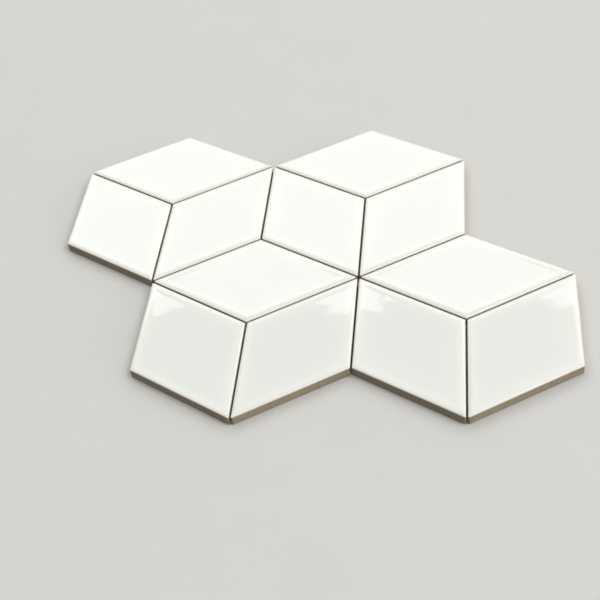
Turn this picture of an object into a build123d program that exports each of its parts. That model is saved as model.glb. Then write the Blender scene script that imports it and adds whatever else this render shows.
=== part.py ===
from build123d import *
import os
from math import cos, floor, radians, sin, sqrt

# Driving dimensions of the pressed tile, in millimetres
tile_side = 67.0
tile_thickness = 6.0
edge_round = 1.5
corner_round = 0.5

# Keying channels pressed into the back of each tile
key_pitch = 9.0
key_width = 4.0
key_depth = 0.6
key_border = 5.0

# Open joint between neighbouring tiles
joint = 1.0

# Backing mesh of flat glass-fibre strands
strand_pitch = 10.0
strand_width = 1.2
mesh_thickness = 0.4
mesh_setback = 3.0

# Three equal rhombuses fill a hexagon, so their corners are 60 and 120 degrees
acute_corner = 60.0
tiles_to_a_hexagon = 3
turn = 360 / tiles_to_a_hexagon
sin_acute = sin(radians(acute_corner))
cos_half = cos(radians(acute_corner / 2))
tile_width = tile_side * sin_acute
long_half = tile_side * cos_half
short_half = tile_side * sin(radians(acute_corner / 2))

# Hexagon cells of the pattern, each reaching to the middle of its joints
half_pitch = tile_width + joint
column_pitch = 2 * half_pitch
cell_radius = column_pitch / sqrt(3)
row_pitch = 1.5 * cell_radius
cell_rise = cell_radius / 2

# How far the tiles reach behind and in front of their hexagon's middle
reach_back = cell_rise + short_half - corner_round * (1 / sin_acute - 1)
reach_front = cell_radius - joint * sin_acute - corner_round * (2 * sin_acute - 1)

# Middles of the hexagons, the back row half a hexagon to the left of the front row
back_y = (row_pitch + reach_front - reach_back) / 2
front_y = back_y - row_pitch
hexagons = {
    "a": (-1.5 * half_pitch, back_y),
    "b": (0.5 * half_pitch, back_y),
    "c": (-0.5 * half_pitch, front_y),
    "d": (1.5 * half_pitch, front_y),
}
places = {"top": 0, "left": turn, "right": -turn}


def rhombus_tile(centre, angle):
    """One pressed tile, its middle half a cell out from the hexagon's middle."""
    outward = radians(90 + angle)
    seat = Plane(
        origin=(centre[0] + cell_rise * cos(outward), centre[1] + cell_rise * sin(outward), mesh_thickness),
        x_dir=(cos(radians(angle)), sin(radians(angle)), 0),
        z_dir=(0, 0, 1),
    )
    corners = [(long_half, 0), (0, short_half), (-long_half, 0), (0, -short_half)]
    with BuildPart() as tile:
        # Body with the edges of the glazed face rolled over
        with BuildSketch(seat):
            Polygon(*corners)
        extrude(amount=tile_thickness)
        fillet(tile.faces().sort_by(Axis.Z)[-1].edges(), edge_round)
        # Upright corners blunted from back to face
        with BuildSketch(seat) as plan:
            Polygon(*corners)
            fillet(plan.vertices(), corner_round)
        extrude(amount=tile_thickness, mode=Mode.INTERSECT)
        # Channels across the back, stopped short of the edges
        channel_rim = key_width / 2 + key_border / cos_half
        shortest = short_half * (1 - key_width / (2 * long_half))
        rows = floor((shortest - channel_rim) / key_pitch)
        with BuildSketch(seat):
            for row in range(-rows, rows + 1):
                length = 2 * long_half * (1 - (abs(row) * key_pitch + channel_rim) / short_half)
                with Locations((0, row * key_pitch)):
                    Rectangle(length, key_width)
        extrude(amount=key_depth, mode=Mode.SUBTRACT)
    return tile


def strand_lines(middle):
    """Strand lines of the whole sheet that can pass under a hexagon with this middle."""
    first = floor((middle - cell_radius) / strand_pitch)
    last = floor((middle + cell_radius) / strand_pitch)
    return [(i + 0.5) * strand_pitch for i in range(first, last + 1)]


def mesh_panel(centre):
    """The backing mesh under one hexagon, meeting its neighbours in the middle of the joints."""
    strand_length = 2 * column_pitch
    with BuildPart() as panel:
        with BuildSketch():
            # Strands from front to back
            with Locations([(x, centre[1]) for x in strand_lines(centre[0])]):
                Rectangle(strand_width, strand_length)
            # Strands from left to right
            with Locations([(centre[0], y) for y in strand_lines(centre[1])]):
                Rectangle(strand_length, strand_width)
            # Trimmed to the sheet's outline, set back from the tile edges, and to this hexagon
            with BuildSketch(mode=Mode.INTERSECT):
                with Locations(*hexagons.values()):
                    RegularPolygon(cell_radius, 6, rotation=30)
                offset(amount=-joint / 2 - mesh_setback, kind=Kind.INTERSECTION)
                with Locations(centre):
                    RegularPolygon(cell_radius, 6, rotation=30, mode=Mode.INTERSECT)
        extrude(amount=mesh_thickness)
        # Cut strand ends that cross no other strand fall away
        offcuts = panel.solids().sort_by(SortBy.VOLUME)[:-1]
        if offcuts:
            add(offcuts, mode=Mode.SUBTRACT)
    return panel


os.makedirs("parts", exist_ok=True)
for letter, centre in hexagons.items():
    # Three glazed tiles of the hexagon
    for place, angle in places.items():
        tile = rhombus_tile(centre, angle)
        tile.part.label = f"hexagon_{letter}_{place}_tile"
        export_step(tile.part, f"parts/hexagon_{letter}_{place}_tile.step")
    # Mesh under the hexagon
    panel = mesh_panel(centre)
    panel.part.label = f"backing_mesh_{letter}"
    export_step(panel.part, f"parts/backing_mesh_{letter}.step")
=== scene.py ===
# %% [markdown]
# # A sheet of white glazed rhombus tiles
# Twelve tiles lie on a net of glass-fibre strands, three to a hexagon, so that each hexagon reads as a
# cube. This lesson models the tile and the net by hand, gives them their finishes, and lights and frames
# the sheet. The measured model of the sheet is loaded first, and every piece made here takes the place of
# one of its nodes.

# %% Load the measured model
from math import cos, pi, radians, sin, sqrt, tan

import bpy
from mathutils import Matrix, Vector


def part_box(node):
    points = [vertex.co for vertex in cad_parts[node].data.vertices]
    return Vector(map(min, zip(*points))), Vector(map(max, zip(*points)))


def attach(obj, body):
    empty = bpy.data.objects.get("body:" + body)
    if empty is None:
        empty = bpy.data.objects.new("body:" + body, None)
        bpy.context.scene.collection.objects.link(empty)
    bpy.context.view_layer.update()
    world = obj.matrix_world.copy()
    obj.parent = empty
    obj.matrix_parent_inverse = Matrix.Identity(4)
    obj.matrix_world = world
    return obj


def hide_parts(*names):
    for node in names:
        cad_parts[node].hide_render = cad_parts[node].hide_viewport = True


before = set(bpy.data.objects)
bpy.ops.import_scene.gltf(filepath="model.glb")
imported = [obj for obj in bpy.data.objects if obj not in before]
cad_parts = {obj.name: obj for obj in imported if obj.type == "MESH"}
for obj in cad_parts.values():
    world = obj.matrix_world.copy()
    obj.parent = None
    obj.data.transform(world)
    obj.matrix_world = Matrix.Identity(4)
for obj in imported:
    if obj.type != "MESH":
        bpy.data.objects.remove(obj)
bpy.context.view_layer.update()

# %% [markdown]
# ## Measures
# The pattern follows from a few sizes: the side of the rhombus, the width of the open joint and the
# heights of net and tile. They are repeated here in metres, and one node's box is printed to set beside
# them. Points closer together than TOUCH count as one place.

# %% Sizes of tile, joint and net
MM = 0.001
TOUCH = 0.1 * MM
TILE_SIDE = 67.0 * MM
JOINT = 1.0 * MM
NET_TOP = 0.4 * MM
TILE_TOP = 6.4 * MM
TILE_WIDTH = TILE_SIDE * sin(radians(60))
LONG_HALF = TILE_WIDTH
SHORT_HALF = TILE_SIDE / 2
IN_RADIUS = TILE_WIDTH / 2
HALF_PITCH = TILE_WIDTH + JOINT
CELL_RADIUS = 2 * HALF_PITCH / sqrt(3)

low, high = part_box("hexagon_a_top_tile")
print("top tile from", [round(v / MM, 2) for v in low], "to", [round(v / MM, 2) for v in high])

# %% Middles of the hexagons
HEXAGONS = {}
for letter in "abcd":
    left_low, left_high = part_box(f"hexagon_{letter}_left_tile")
    right_low, right_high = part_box(f"hexagon_{letter}_right_tile")
    top_low, top_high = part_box(f"hexagon_{letter}_top_tile")
    top_middle = (top_low.y + top_high.y) / 2
    HEXAGONS[letter] = Vector(((left_high.x + right_low.x) / 2, top_middle - CELL_RADIUS / 2, 0))
    print("hexagon", letter, [round(v / MM, 2) for v in HEXAGONS[letter]])

# %% [markdown]
# ## The tile's outline
# A pressed tile starts as a rhombus in the die. A ring of four points, stretched along one diagonal, is
# that rhombus exactly, with 60 and 120 degree corners. The sides are divided so that the face can later
# be gently uneven, and the four corners are rounded a little, as a die leaves them. A bevel draws its
# round between the two sides as if they were square to each other, so its profile is set for a true arc
# at 60 and 120 degrees. The bare clay stays a little smaller than the glazed edge above it, by the
# thickness of the glaze.


# %% Selecting in code
def select_vertices(wanted):
    """In edit mode, select only the vertices that the test accepts."""
    bpy.ops.object.mode_set(mode="OBJECT")
    mesh = bpy.context.object.data
    for face in mesh.polygons:
        face.select = False
    for edge in mesh.edges:
        edge.select = False
    for vertex in mesh.vertices:
        vertex.select = wanted(vertex.co)
    bpy.ops.object.mode_set(mode="EDIT")
    bpy.ops.mesh.select_mode(type="VERT")


# %% Rhombus with rounded corners
SIDE_CUTS = 29
CORNER_ROUND = 0.5 * MM
CORNER_STEPS = 3
GLAZE_LIP = 0.15 * MM
clay_size = 1 - GLAZE_LIP / IN_RADIUS

bpy.ops.object.select_all(action="DESELECT")
bpy.ops.mesh.primitive_circle_add(vertices=4, radius=1, fill_type="NOTHING")
tile = bpy.context.object
tile.name = "pressed_tile"
bpy.ops.object.mode_set(mode="EDIT")
bpy.ops.mesh.select_all(action="SELECT")
bpy.ops.transform.resize(value=(LONG_HALF * clay_size, SHORT_HALF * clay_size, 1))
bpy.ops.transform.translate(value=(0, 0, NET_TOP))
bpy.ops.mesh.subdivide(number_cuts=SIDE_CUTS)
for axis, reach, half_angle in ((0, LONG_HALF, radians(30)), (1, SHORT_HALF, radians(60))):
    select_vertices(lambda co: abs(co[axis]) > reach * clay_size - TOUCH)
    bpy.ops.mesh.bevel(offset=CORNER_ROUND / tan(half_angle), segments=CORNER_STEPS, affect="VERTICES",
                       profile=(1 - 0.5 / (1 + sin(half_angle))) ** 2)
bpy.ops.mesh.select_all(action="SELECT")
bpy.ops.mesh.edge_face_add()
bpy.ops.object.mode_set(mode="OBJECT")
print("outline points", len(tile.data.vertices), "faces", len(tile.data.polygons))

# %% [markdown]
# ## Body, rolled edge and face
# The clay stands straight up from the back. The glaze begins in a thin lip with a short upright skirt
# above it, which keeps the clay below in shade, and rolls over the edge in a soft cushion, 2.5 mm wide
# and a little under 1 mm high. Just inside that roll the melted glaze gathers in a faint rim, a few
# hundredths of a millimetre high, and the whole face inside it is a very shallow dish, as tiles come out
# of the kiln. The rim's inner slope and the dish bend the reflections that draw a soft frame of light
# round every tile, so both are modelled, though no ruler would show them; a painted brightening of the
# glaze colour on the rim adds to that frame. Each step extrudes the top face, lifts it and shrinks it
# about the middle. A rhombus has an inscribed circle, so shrinking it moves all four sides in by the
# same distance, which an inset would do less cleanly at the tips.


# %% Profile from the side to the middle of the face
ROLL_WIDTH = 2.5 * MM
ROLL_RISE = 0.9 * MM
ROLL_STEPS = 10
GLAZE_SKIRT = 0.25 * MM
GLAZE_LINE = TILE_TOP - ROLL_RISE - GLAZE_SKIRT
LIP_RISE = 0.05 * MM
RIM = 0.06 * MM
RIM_WIDTH = 3.0 * MM
RIM_STEPS = 7
DISH = 0.06 * MM
FACE_STEPS = 12

profile = [(GLAZE_LIP, GLAZE_LINE), (GLAZE_LIP / 3, GLAZE_LINE + LIP_RISE)]
for step in range(ROLL_STEPS + 1):
    turn = radians(90) * step / ROLL_STEPS
    profile.append((ROLL_WIDTH * (1 - cos(turn)), TILE_TOP - ROLL_RISE * (1 - sin(turn))))
for step in range(1, RIM_STEPS + 1):
    part = step / RIM_STEPS
    profile.append((ROLL_WIDTH + RIM_WIDTH * part, TILE_TOP - RIM * (1 - cos(pi * part)) / 2))
inner = IN_RADIUS - ROLL_WIDTH - RIM_WIDTH
for step in range(1, FACE_STEPS):
    part = step / FACE_STEPS
    sag = RIM + DISH * (1 - (1 - part) ** 2)
    profile.append((ROLL_WIDTH + RIM_WIDTH + inner * part, TILE_TOP - sag))
print("profile steps", len(profile), "side height", round((profile[0][1] - NET_TOP) / MM, 2), "mm")


# %% Extrude the profile ring by ring
def raise_face(lift, shrink):
    """Extrude the selected face upwards and shrink it about the tile's middle."""
    bpy.ops.mesh.extrude_region_move(TRANSFORM_OT_translate={"value": (0, 0, lift)})
    bpy.ops.transform.resize(value=(shrink, shrink, 1), center_override=(0, 0, 0))


bpy.ops.object.mode_set(mode="EDIT")
bpy.ops.mesh.select_mode(type="FACE")
bpy.ops.mesh.select_all(action="SELECT")
at_inset, at_height = GLAZE_LIP, NET_TOP
for inset, height in profile:
    raise_face(height - at_height, (IN_RADIUS - inset) / (IN_RADIUS - at_inset))
    at_inset, at_height = inset, height
bpy.ops.mesh.poke()
bpy.ops.mesh.select_all(action="SELECT")
bpy.ops.mesh.normals_make_consistent(inside=False)
bpy.ops.object.mode_set(mode="OBJECT")
print("tile faces", len(tile.data.polygons))

# %% [markdown]
# ## Channels on the back
# The die presses shallow channels into the back so that the adhesive keys. They stop short of the edges,
# so nothing of them shows from the side. Five bars are cut away with one Boolean.

# %% Cut the channels
KEY_PITCH = 9.0 * MM
KEY_WIDTH = 4.0 * MM
KEY_DEPTH = 0.6 * MM
KEY_BORDER = 5.0 * MM
KEY_ROWS = 2

bars = []
for row in range(-KEY_ROWS, KEY_ROWS + 1):
    rim = abs(row) * KEY_PITCH + KEY_WIDTH / 2 + KEY_BORDER / cos(radians(30))
    length = 2 * LONG_HALF * (1 - rim / SHORT_HALF)
    bpy.ops.object.select_all(action="DESELECT")
    bpy.ops.mesh.primitive_cube_add(size=1, location=(0, row * KEY_PITCH, NET_TOP))
    bar = bpy.context.object
    bar.dimensions = (length, KEY_WIDTH, 2 * KEY_DEPTH)
    bars.append(bar)
bpy.ops.object.select_all(action="DESELECT")
for bar in bars:
    bar.select_set(True)
bpy.context.view_layer.objects.active = bars[0]
bpy.ops.object.join()
bpy.ops.object.transform_apply(location=True, rotation=True, scale=True)
channels = bpy.context.object

bpy.ops.object.select_all(action="DESELECT")
tile.select_set(True)
bpy.context.view_layer.objects.active = tile
cut = tile.modifiers.new("channels", "BOOLEAN")
cut.operation = "DIFFERENCE"
cut.solver = "EXACT"
cut.object = channels
bpy.ops.object.modifier_apply(modifier=cut.name)
bpy.data.objects.remove(channels)
print("tile faces with channels", len(tile.data.polygons))

# %% [markdown]
# Shading by angle makes the glaze run smoothly over roll, rim and face. The clay's own edges turn more
# sharply than the limit, so they stay crisp.

# %% Smooth the glaze, keep the arrises
ARRIS_ANGLE = radians(40)

bpy.ops.object.shade_smooth_by_angle(angle=ARRIS_ANGLE)
print("smooth below", round(ARRIS_ANGLE * 180 / pi), "degrees")

# %% [markdown]
# ## Twelve tiles
# The finished tile is copied, each copy with its own mesh, turned by 0, 120 or 240 degrees and moved half
# a cell out from the middle of its hexagon. Location and turn are applied, so that each tile's place is
# in its mesh.

# %% Lay the tiles
PLACES = {"top": 0.0, "left": radians(120), "right": radians(240)}
tiles = {}
for letter, middle in HEXAGONS.items():
    for place, angle in PLACES.items():
        outward = Vector((-sin(angle), cos(angle), 0)) * (CELL_RADIUS / 2)
        bpy.ops.object.select_all(action="DESELECT")
        tile.select_set(True)
        bpy.context.view_layer.objects.active = tile
        bpy.ops.object.duplicate()
        laid = bpy.context.object
        laid.location = middle + outward
        laid.rotation_euler = (0, 0, angle)
        bpy.ops.object.transform_apply(location=True, rotation=True, scale=True)
        laid.name = f"glazed_tile_{letter}_{place}"
        tiles[(letter, place)] = laid
bpy.data.objects.remove(tile)
print("tiles laid", len(tiles))

# %% [markdown]
# ## Uneven glaze
# A glazed face is never a perfect mirror: the melt leaves swells a few centimetres long and some
# hundredths of a millimetre high, which bend the reflections. A Displace modifier with a soft cloud
# texture gives them as real shape. It reads the mesh's own coordinates, so no two tiles are alike, and a
# vertex group keeps it on the face.

# %% Displace the faces
SWELL = 0.02 * MM
SWELL_SIZE = 24 * MM
FACE_FADE = 1.0 * MM

swells = bpy.data.textures.new("glaze_swells", "CLOUDS")
swells.noise_scale = SWELL_SIZE
swells.noise_depth = 0
for laid in tiles.values():
    face_group = laid.vertex_groups.new(name="face")
    for vertex in laid.data.vertices:
        weight = 1 - min(1.0, max(0.0, (TILE_TOP - vertex.co.z) / FACE_FADE))
        face_group.add([vertex.index], weight, "REPLACE")
    bpy.ops.object.select_all(action="DESELECT")
    laid.select_set(True)
    bpy.context.view_layer.objects.active = laid
    swell = laid.modifiers.new("swells", "DISPLACE")
    swell.texture = swells
    swell.direction = "Z"
    swell.mid_level = 1.0
    swell.strength = 2 * SWELL
    swell.vertex_group = face_group.name
    bpy.ops.object.modifier_apply(modifier=swell.name)
    laid.vertex_groups.clear()
print("highest point", round(max(v.co.z for v in tiles[("d", "top")].data.vertices) / MM, 3), "mm")

# %% [markdown]
# ## The net
# Under the tiles lies a net of glass-fibre strands. Each strand is a flat ribbon of yarn that goes over
# one crossing strand and under the next, so the two layers fit in 0.4 mm. One long strand is drawn out
# step by step along its wave; every other strand is a copy of it, shifted by one mesh or turned by 90
# degrees, and cut to length.

# %% One strand, drawn out along its wave
STRAND_PITCH = 10.0 * MM
STRAND_WIDTH = 1.2 * MM
STRAND_STEPS = 4
STRAND_SIDES = 8
MESHES_LONG = 32
WAVE = NET_TOP / 4
YARN_ANGLE = radians(60)

bpy.ops.object.select_all(action="DESELECT")
bpy.ops.mesh.primitive_circle_add(vertices=STRAND_SIDES, radius=1, fill_type="NGON", rotation=(0, pi / 2, 0))
strand = bpy.context.object
strand.name = "net_strand"
bpy.ops.object.transform_apply(location=True, rotation=True, scale=True)
bpy.ops.object.mode_set(mode="EDIT")
bpy.ops.mesh.select_mode(type="FACE")
bpy.ops.mesh.select_all(action="SELECT")
bpy.ops.transform.resize(value=(1, STRAND_WIDTH / 2, NET_TOP / 4))
bpy.ops.transform.translate(value=(-MESHES_LONG / 2 * STRAND_PITCH, 0, NET_TOP / 2))
for step in range(MESHES_LONG * STRAND_STEPS):
    rise = WAVE * (sin(pi * (step + 1) / STRAND_STEPS) - sin(pi * step / STRAND_STEPS))
    stride = (STRAND_PITCH / STRAND_STEPS, 0, rise)
    bpy.ops.mesh.extrude_region_move(TRANSFORM_OT_translate={"value": stride})
bpy.ops.mesh.select_all(action="SELECT")
bpy.ops.mesh.normals_make_consistent(inside=False)
bpy.ops.object.mode_set(mode="OBJECT")
bpy.ops.object.shade_smooth_by_angle(angle=YARN_ANGLE)
print("strand faces", len(strand.data.polygons))

# %% [markdown]
# The yarn's filaments run along each strand, also along the turned ones. So the strand gets a map of its
# own before it is copied: metres along it and across it.

# %% A map along the strand
along_strand = strand.data.uv_layers.new(name="along_strand")
for loop in strand.data.loops:
    along_strand.data[loop.index].uv = strand.data.vertices[loop.vertex_index].co.xy
print("map", along_strand.name, "of", len(along_strand.data), "corners")

# %% [markdown]
# The strands stop 3 mm short of the tile edges all round. A strand's line is followed through the hexagon
# cells that it crosses, the stretches are joined where cells meet, and only the outer ends are cut back.

# %% Where each strand begins and ends
EDGE_SETBACK = 3.0 * MM
NET_SETBACK = JOINT / 2 + EDGE_SETBACK


def row_reach(off, back):
    """Half the length, left to right, of a hexagon cut back all round, this far from its middle line."""
    return min(HALF_PITCH - back, (CELL_RADIUS - off) * sqrt(3) - 2 * back)


def column_reach(off, back):
    """The same from front to back."""
    if off >= HALF_PITCH - NET_SETBACK:
        return 0.0
    return CELL_RADIUS - (off + 2 * back) / sqrt(3)


def strand_runs(position, along, reach):
    """Ends of the runs of one strand that lies at a position across the sheet."""
    stretches = []
    for middle in HEXAGONS.values():
        off = abs(position - middle[1 - along])
        full, cut = reach(off, 0), reach(off, NET_SETBACK)
        if full > 0:
            ends = [side * length for length in (full, cut) for side in (-1, 1)]
            stretches.append([middle[along] + end for end in ends])
    runs = []
    for low, high, low_cut, high_cut in sorted(stretches):
        if runs and low - runs[-1][1] < TOUCH:
            runs[-1][1], runs[-1][3] = high, high_cut
        else:
            runs.append([low, high, low_cut, high_cut])
    return [(low, high) for _, _, low, high in runs if high - low > STRAND_PITCH / 2]


# %% Weave the net
def lay_strand(place, turned, start, end):
    """Copy the strand to its place and cut both ends square."""
    bpy.ops.object.select_all(action="DESELECT")
    strand.select_set(True)
    bpy.context.view_layer.objects.active = strand
    bpy.ops.object.duplicate()
    copy = bpy.context.object
    copy.location = place
    copy.rotation_euler = (0, 0, radians(90) if turned else 0)
    bpy.ops.object.transform_apply(location=True, rotation=True, scale=True)
    way = Vector((0, 1, 0)) if turned else Vector((1, 0, 0))
    bpy.ops.object.mode_set(mode="EDIT")
    for cut, side in ((start, "clear_inner"), (end, "clear_outer")):
        bpy.ops.mesh.select_all(action="SELECT")
        bpy.ops.mesh.bisect(plane_co=cut * way, plane_no=way, use_fill=True, **{side: True})
    bpy.ops.object.mode_set(mode="OBJECT")
    return copy


laid_strands = []
for number in range(-MESHES_LONG // 2, MESHES_LONG // 2):
    position = (number + 0.5) * STRAND_PITCH
    shift = STRAND_PITCH * (number % 2)
    for start, end in strand_runs(position, 0, row_reach):
        laid_strands.append(lay_strand((shift, position, 0), False, start, end))
    for start, end in strand_runs(position, 1, column_reach):
        laid_strands.append(lay_strand((position, shift - STRAND_PITCH, 0), True, start, end))

bpy.ops.object.select_all(action="DESELECT")
for copy in laid_strands:
    copy.select_set(True)
bpy.context.view_layer.objects.active = laid_strands[0]
bpy.ops.object.join()
net = bpy.context.object
net.name = "glass_fibre_net"
bpy.data.objects.remove(strand)
print("strands", len(laid_strands), "faces", len(net.data.polygons))

# %% [markdown]
# ## Finishes
# Colours are written as sRGB hex values, as a colour chart gives them, and one function makes them
# linear. Another adds a node with its settings and links. Everything else is a choice of texture and
# size. A Mix node has sockets for every kind of value under the same names, so the ones used here are
# called by number.

# %% Colour and node helpers
FACTOR, NUMBER_A, NUMBER_B, COLOUR_A, COLOUR_B = 0, 2, 3, 6, 7
MIXED_NUMBER, MIXED_COLOUR = 0, 2


def hex_colour(code):
    """Linear colour with alpha from an sRGB hex value."""
    channels = [int(code[i:i + 2], 16) / 255 for i in (1, 3, 5)]
    return [c / 12.92 if c <= 0.04045 else ((c + 0.055) / 1.055) ** 2.4 for c in channels] + [1.0]


def add_node(tree, kind, settings=None, inputs=None):
    """Add a node, set its properties, and set or link its inputs."""
    node = tree.nodes.new(kind)
    for name, value in (settings or {}).items():
        setattr(node, name, value)
    for key, value in (inputs or {}).items():
        if isinstance(value, bpy.types.NodeSocket):
            tree.links.new(value, node.inputs[key])
        else:
            node.inputs[key].default_value = value
    return node


def new_material(name):
    """An empty node material, returned with its tree, object coordinates and Principled shader."""
    material = bpy.data.materials.new(name)
    material.use_nodes = True
    tree = material.node_tree
    tree.nodes.clear()
    coordinates = add_node(tree, "ShaderNodeTexCoord").outputs["Object"]
    shader = add_node(tree, "ShaderNodeBsdfPrincipled")
    add_node(tree, "ShaderNodeOutputMaterial", inputs={"Surface": shader.outputs["BSDF"]})
    return material, tree, coordinates, shader


# %% [markdown]
# ### White gloss glaze on fired clay
# The tile is one fired piece. A white tin glaze covers the face and the rolled edge: near-mirror smooth,
# a touch warm, and creamier where it runs thin above the lip. Its colour is painted a shade whiter on the
# rim than in the dish, a painted brightening that adds to the soft frame of light round every tile.
# Below the lip the clay is bare, matt and beige with fine dark grog. Height tells the two apart, so one
# material can hold both, with a little noise in the line between them.

# %% Where the glaze ends, and how thick it lies
LINE_WAVER = 0.04 * MM
WAVER_SIZE = 4 * MM
LINE_SOFT = 0.03 * MM
THIN_BELOW = 0.1 * MM

glazed, tree, coords, shader = new_material("white gloss glaze on fired clay")
height = add_node(tree, "ShaderNodeSeparateXYZ", inputs={"Vector": coords}).outputs["Z"]
waver = add_node(tree, "ShaderNodeTexNoise",
                 inputs={"Vector": coords, "Scale": 1 / WAVER_SIZE, "Detail": 2.0}).outputs["Fac"]
line = add_node(tree, "ShaderNodeMath", {"operation": "MULTIPLY_ADD"},
                {0: waver, 1: 2 * LINE_WAVER, 2: GLAZE_LINE - LINE_WAVER}).outputs[0]
over = add_node(tree, "ShaderNodeMath", {"operation": "SUBTRACT"}, {0: height, 1: line}).outputs[0]
cover = add_node(tree, "ShaderNodeMapRange", {"interpolation_type": "SMOOTHSTEP"},
                 {"Value": over, "From Min": -LINE_SOFT, "From Max": LINE_SOFT}).outputs["Result"]
depth = add_node(tree, "ShaderNodeMapRange", {"interpolation_type": "SMOOTHSTEP"},
                 {"Value": over, "From Min": THIN_BELOW, "From Max": ROLL_RISE}).outputs["Result"]
print("material", glazed.name)

# %% Colours of glaze and clay
GLAZE_WHITE = "#F3F4ED"
# Painted shade: the middle of each face gets this greyer white, the rim the full white.
GLAZE_PAINTED_DIM = "#EDEEE9"
GLAZE_THIN = "#E9DECB"
CLAY = "#B7A98F"
CLAY_GROG = "#8B7E66"
GRIT_SIZE = 0.8 * MM
GROG_FROM = 0.45
GROG_FULL = 0.8
# Painted highlight: the glaze colour brightens from the dish up to the rim, which adds to the soft frame of
# light round each tile.
PAINTED_FRAME_LOW = TILE_TOP - RIM - DISH
PAINTED_FRAME_HIGH = TILE_TOP - RIM / 2

painted_rim_light = add_node(tree, "ShaderNodeMapRange", {"interpolation_type": "SMOOTHSTEP"},
                {"Value": height, "From Min": PAINTED_FRAME_LOW, "From Max": PAINTED_FRAME_HIGH}).outputs["Result"]
painted_rim_whites = add_node(tree, "ShaderNodeMix", {"data_type": "RGBA"},
                  {FACTOR: painted_rim_light, COLOUR_A: hex_colour(GLAZE_PAINTED_DIM), COLOUR_B: hex_colour(GLAZE_WHITE)})
glaze_colour = add_node(tree, "ShaderNodeMix", {"data_type": "RGBA"},
                        {FACTOR: depth, COLOUR_A: hex_colour(GLAZE_THIN),
                         COLOUR_B: painted_rim_whites.outputs[MIXED_COLOUR]})
grit = add_node(tree, "ShaderNodeTexNoise", inputs={"Vector": coords, "Scale": 1 / GRIT_SIZE, "Detail": 3.0})
grog = add_node(tree, "ShaderNodeMapRange",
                inputs={"Value": grit.outputs["Fac"], "From Min": GROG_FROM, "From Max": GROG_FULL})
clay_colour = add_node(tree, "ShaderNodeMix", {"data_type": "RGBA"},
                       {FACTOR: grog.outputs["Result"], COLOUR_A: hex_colour(CLAY),
                        COLOUR_B: hex_colour(CLAY_GROG)})
colour = add_node(tree, "ShaderNodeMix", {"data_type": "RGBA"},
                  {FACTOR: cover, COLOUR_A: clay_colour.outputs[MIXED_COLOUR],
                   COLOUR_B: glaze_colour.outputs[MIXED_COLOUR]})
tree.links.new(colour.outputs[MIXED_COLOUR], shader.inputs["Base Color"])
print("glaze", GLAZE_WHITE, "to", GLAZE_THIN, "over clay", CLAY)

# %% [markdown]
# The gloss comes from a low roughness and the index of a lead-free glaze. Fine ripples, left by the melt,
# break up the edge of whatever is mirrored in the face; on the clay the grit stands out instead. Both are
# heights in metres, so the bump needs no further scaling.

# %% Gloss, ripples and grit
RIPPLE = 0.022 * MM
RIPPLE_SIZE = 6 * MM
RIPPLE_SEED = 5.2
GRIT = 0.12 * MM
CLAY_ROUGHNESS = 0.85
GLAZE_ROUGHNESS = 0.02
GLAZE_IOR = 1.52

roughness = add_node(tree, "ShaderNodeMapRange",
                     inputs={"Value": cover, "To Min": CLAY_ROUGHNESS, "To Max": GLAZE_ROUGHNESS})
ripple = add_node(tree, "ShaderNodeTexNoise", {"noise_dimensions": "4D"},
                  {"Vector": coords, "W": RIPPLE_SEED, "Scale": 1 / RIPPLE_SIZE,
                   "Detail": 2.0, "Roughness": 0.4})
ripples = add_node(tree, "ShaderNodeMath", {"operation": "MULTIPLY"}, {0: ripple.outputs["Fac"], 1: RIPPLE})
grains = add_node(tree, "ShaderNodeMath", {"operation": "MULTIPLY"}, {0: grit.outputs["Fac"], 1: GRIT})
relief = add_node(tree, "ShaderNodeMix", {"data_type": "FLOAT"},
                  {FACTOR: cover, NUMBER_A: grains.outputs[0], NUMBER_B: ripples.outputs[0]})
bump = add_node(tree, "ShaderNodeBump",
                inputs={"Height": relief.outputs[MIXED_NUMBER], "Distance": 1.0, "Strength": 1.0})
tree.links.new(roughness.outputs["Result"], shader.inputs["Roughness"])
tree.links.new(bump.outputs["Normal"], shader.inputs["Normal"])
shader.inputs["IOR"].default_value = GLAZE_IOR
print("ripples", RIPPLE / MM, "mm, grit", GRIT / MM, "mm")

# %% Give the tiles their finish
for (letter, place), laid in tiles.items():
    laid.data.materials.clear()
    laid.data.materials.append(glazed)
    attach(laid, "root")
    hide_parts(f"hexagon_{letter}_{place}_tile")
print("finished tiles", len(tiles))

# %% [markdown]
# ### Resin-stiffened glass-fibre yarn
# Glass yarn is a bundle of fine filaments. Dipped in resin it sets to an off-white, half matt ribbon with
# faint lines along its length. The lines follow the strand's own map, so they turn with it; they are
# drawn 0.15 mm wide, coarser than real filaments, so that they show.

# %% Net finish
YARN_WHITE = "#E6E4DC"
YARN_SHADE = "#C4C0B2"
FILAMENT = 0.15 * MM
FILAMENT_RUN = 6 * MM
FILAMENT_RELIEF = 0.06 * MM
YARN_ROUGHNESS = 0.5

net_finish, tree, _, shader = new_material("resin-stiffened glass-fibre yarn")
yarn_map = add_node(tree, "ShaderNodeUVMap", {"uv_map": "along_strand"})
stretched = add_node(tree, "ShaderNodeVectorMath", {"operation": "MULTIPLY"},
                     {0: yarn_map.outputs["UV"], 1: (1 / FILAMENT_RUN, 1 / FILAMENT, 1)})
filaments = add_node(tree, "ShaderNodeTexNoise",
                     inputs={"Vector": stretched.outputs[0], "Scale": 1.0, "Detail": 2.0}).outputs["Fac"]
yarn_colour = add_node(tree, "ShaderNodeMix", {"data_type": "RGBA"},
                       {FACTOR: filaments, COLOUR_A: hex_colour(YARN_SHADE),
                        COLOUR_B: hex_colour(YARN_WHITE)})
yarn_relief = add_node(tree, "ShaderNodeMath", {"operation": "MULTIPLY"}, {0: filaments, 1: FILAMENT_RELIEF})
yarn_bump = add_node(tree, "ShaderNodeBump", inputs={"Height": yarn_relief.outputs[0], "Distance": 1.0})
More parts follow.
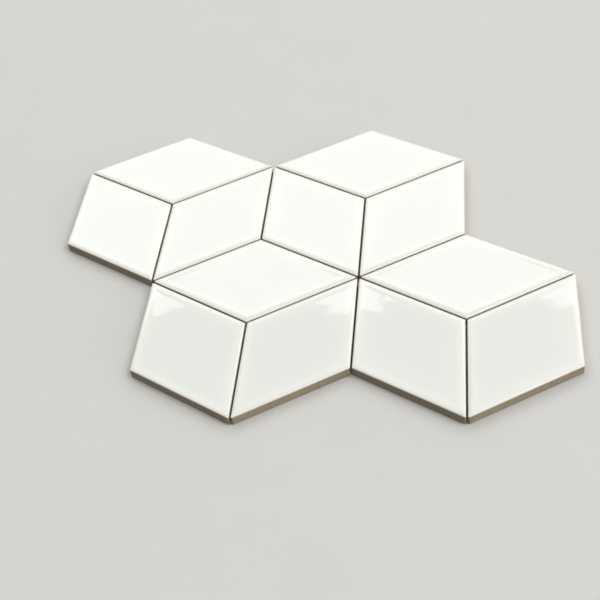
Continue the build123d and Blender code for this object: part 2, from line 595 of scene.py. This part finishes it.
tree.links.new(yarn_colour.outputs[MIXED_COLOUR], shader.inputs["Base Color"])
tree.links.new(yarn_bump.outputs["Normal"], shader.inputs["Normal"])
shader.inputs["Roughness"].default_value = YARN_ROUGHNESS

net.data.materials.clear()
net.data.materials.append(net_finish)
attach(net, "root")
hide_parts(*[f"backing_mesh_{letter}" for letter in HEXAGONS])
print("material", net_finish.name)

# %% [markdown]
# ## Floor, light and camera
# The sheet lies on a plain pale floor in an even pale room. To the camera, and in the glaze, the far
# floor and the room have one colour, so that no horizon shows. As light on the sheet, room and floor are
# only a weak fill, which keeps the joints and the shaded clay dark.

# %% What the camera and the gloss see
ROOM_PALE = "#D7D6D2"
ROOM_FILL = 0.33


def seen_rays(tree):
    """1 for rays from the camera, off gloss or through glass, and 0 for the light that falls on a surface."""
    path = add_node(tree, "ShaderNodeLightPath").outputs
    either = add_node(tree, "ShaderNodeMath", {"operation": "ADD"},
                      {0: path["Is Camera Ray"], 1: path["Is Glossy Ray"]})
    return add_node(tree, "ShaderNodeMath", {"operation": "ADD", "use_clamp": True},
                    {0: either.outputs[0], 1: path["Is Transmission Ray"]}).outputs[0]


# %% Floor
FLOOR_PALE = "#DAD9D5"
FLOOR_SHADE = "#D6D5D1"
FLOOR_FILL = "#7C7C7A"
FLOOR_SIZE = 40.0
FLOOR_ROUGHNESS = 0.9
MOTTLE_SIZE = 40 * MM

bpy.ops.object.select_all(action="DESELECT")
bpy.ops.mesh.primitive_plane_add(size=FLOOR_SIZE)
floor = bpy.context.object
floor.name = "floor"
paper, tree, coords, shader = new_material("pale matt floor")
mottle = add_node(tree, "ShaderNodeTexNoise",
                  inputs={"Vector": coords, "Scale": 1 / MOTTLE_SIZE, "Detail": 2.0}).outputs["Fac"]
paper_colour = add_node(tree, "ShaderNodeMix", {"data_type": "RGBA"},
                        {FACTOR: mottle, COLOUR_A: hex_colour(FLOOR_SHADE), COLOUR_B: hex_colour(FLOOR_PALE)})
seen = seen_rays(tree)
floor_colour = add_node(tree, "ShaderNodeMix", {"data_type": "RGBA"},
                        {FACTOR: seen, COLOUR_A: hex_colour(FLOOR_FILL),
                         COLOUR_B: paper_colour.outputs[MIXED_COLOUR]})
tree.links.new(floor_colour.outputs[MIXED_COLOUR], shader.inputs["Base Color"])
shader.inputs["Roughness"].default_value = FLOOR_ROUGHNESS
print("floor", floor.name, FLOOR_SIZE, "m wide")

# %% Far floor
FADE_FROM = 0.8
FADE_TO = 2.5

away = add_node(tree, "ShaderNodeVectorMath", {"operation": "LENGTH"}, {0: coords}).outputs["Value"]
fade = add_node(tree, "ShaderNodeMapRange", {"interpolation_type": "SMOOTHSTEP"},
                {"Value": away, "From Min": FADE_FROM, "From Max": FADE_TO})
far = add_node(tree, "ShaderNodeMath", {"operation": "MULTIPLY"}, {0: fade.outputs["Result"], 1: seen})
haze = add_node(tree, "ShaderNodeEmission", inputs={"Color": hex_colour(ROOM_PALE), "Strength": 1.0})
ground = add_node(tree, "ShaderNodeMixShader",
                  inputs={0: far.outputs[0], 1: shader.outputs["BSDF"], 2: haze.outputs["Emission"]})
tree.links.new(ground.outputs[0], tree.nodes["Material Output"].inputs["Surface"])
floor.data.materials.append(paper)
print("floor fades into the room from", FADE_FROM, "to", FADE_TO, "m")

# %% Room
world = bpy.data.worlds.new("even pale room")
bpy.context.scene.world = world
world.use_nodes = True
tree = world.node_tree
room = tree.nodes["Background"]
room.inputs["Color"].default_value = hex_colour(ROOM_PALE)
level = add_node(tree, "ShaderNodeMapRange",
                 inputs={"Value": seen_rays(tree), "To Min": ROOM_FILL, "To Max": 1.0})
tree.links.new(level.outputs["Result"], room.inputs["Strength"])
print("room", ROOM_PALE, "fills at", ROOM_FILL)

# %% [markdown]
# A large soft lamp high on the right and a weaker one high on the left light the faces, and a low one on
# the right lights the clay on that side.


# %% A lamp of a given brightness
def add_lamp(name, place, aim, width, height, radiance, lights=True):
    """An area lamp of a given brightness, turned to face a point, or only seen in reflections."""
    light = bpy.data.lights.new(name, "AREA")
    light.shape = "RECTANGLE"
    light.size = width
    light.size_y = height
    light.energy = radiance * pi * width * height
    lamp = bpy.data.objects.new(name, light)
    lamp.location = place
    lamp.rotation_euler = (Vector(aim) - Vector(place)).to_track_quat("-Z", "Y").to_euler()
    lamp.visible_camera = False
    lamp.visible_diffuse = lights
    bpy.context.scene.collection.objects.link(lamp)
    print(name, "energy", round(light.energy, 1))
    return light


# %% Soft lamps
SHEET_MIDDLE = (0, 0, 0)

add_lamp("lamp_low_right", (4.25, -1.25, 1.0), SHEET_MIDDLE, width=3.5, height=1.9, radiance=2.6)
add_lamp("lamp_high_right", (3.1, -0.6, 4.75), SHEET_MIDDLE, width=4.5, height=4.5, radiance=2.93)
add_lamp("lamp_high_left", (-2.6, 1.4, 4.5), SHEET_MIDDLE, width=3.0, height=3.0, radiance=1.95)

# %% [markdown]
# A broad white card stands behind the sheet. In the glaze it fills the reflections up to about 45
# degrees, so that the far tiles shine white and the near ones stay a shade greyer, with the card's wavy
# upper edge in their outer corners. A glaze mirrors more strongly at a low angle, so the card dims
# towards its foot, or the faces would burn out when seen from low down. The other cards only show in
# reflections. A fainter one above the first grows brighter to the right and gives the near tile on that
# side a soft sheen, and three narrow ones, from the left round to the front, let the gloss be seen from
# behind too.

# %% Upright cards
CARD_AWAY = 5.0
CARD_TOP = 5.045


def add_card(name, bearing, foot, top, width, radiance, lights=True):
    """An upright card that faces the sheet from a bearing, from one height up to another."""
    middle = (foot + top) / 2
    place = (CARD_AWAY * cos(radians(bearing)), CARD_AWAY * sin(radians(bearing)), middle)
    return add_lamp(name, place, (0, 0, middle), width, top - foot, radiance, lights)


# %% [markdown]
# A card's brightness can change across its face. A lamp tells its shader where on its face a ray starts,
# as shares of the width, counted from the right as the camera sees the card behind, and of the height,
# counted from its foot.


# %% Graded brightness
def grade(light, way, dim_end, full_end, dim):
    """Let a card fall off smoothly to a share of its brightness, along its width X or its height Y."""
    light.use_nodes = True
    tree = light.node_tree
    spot = add_node(tree, "ShaderNodeNewGeometry").outputs["Parametric"]
    share = add_node(tree, "ShaderNodeSeparateXYZ", inputs={"Vector": spot}).outputs[way]
    level = add_node(tree, "ShaderNodeMapRange", {"interpolation_type": "SMOOTHSTEP"},
                     {"Value": share, "From Min": dim_end, "From Max": full_end,
                      "To Min": dim, "To Max": 1.0})
    tree.links.new(level.outputs["Result"], tree.nodes["Emission"].inputs["Strength"])


# %% Cards round the sheet
behind = add_card("card_behind", 90, foot=0.05, top=CARD_TOP, width=7.5, radiance=2.5)
grade(behind, "Y", dim_end=0.49, full_end=0.71, dim=0.24)
sheen = add_card("card_above", 90, foot=CARD_TOP, top=6.6, width=5.0, radiance=1.0, lights=False)
grade(sheen, "X", dim_end=0.42, full_end=0.33, dim=0.0)
for name, bearing in (("card_left", 180), ("card_corner", 225), ("card_front", 270)):
    add_card(name, bearing, foot=0.3, top=4.5, width=1.3, radiance=1.15, lights=False)

# %% [markdown]
# The camera looks down on the sheet at about 45 degrees from the front, a little to the right. It was
# held almost level: the small sideways lean is in the upright direction, and three directions square to
# each other make its matrix.

# %% Camera
VIEW_FROM = Vector((0.0950, -0.4944, 0.4556))
AIM = Vector((-0.0015, -0.0353, 0.0064))
UPRIGHT = Vector((0.0179, 0.7011, 0.7128))
SENSOR_WIDTH = 36
LENS = 71.25
NEAREST = 0.01

camera_data = bpy.data.cameras.new("camera")
camera_data.sensor_width = SENSOR_WIDTH
camera_data.lens = LENS
camera_data.clip_start = NEAREST
camera = bpy.data.objects.new("camera", camera_data)
backward = (VIEW_FROM - AIM).normalized()
rightward = UPRIGHT.cross(backward).normalized()
upward = backward.cross(rightward)
turned = Matrix((rightward, upward, backward)).transposed().to_4x4()
camera.matrix_world = Matrix.Translation(VIEW_FROM) @ turned
bpy.context.scene.collection.objects.link(camera)
bpy.context.scene.camera = camera
bpy.context.scene.view_settings.view_transform = "Standard"
print("camera", round((VIEW_FROM - AIM).length, 3), "m from its aim")
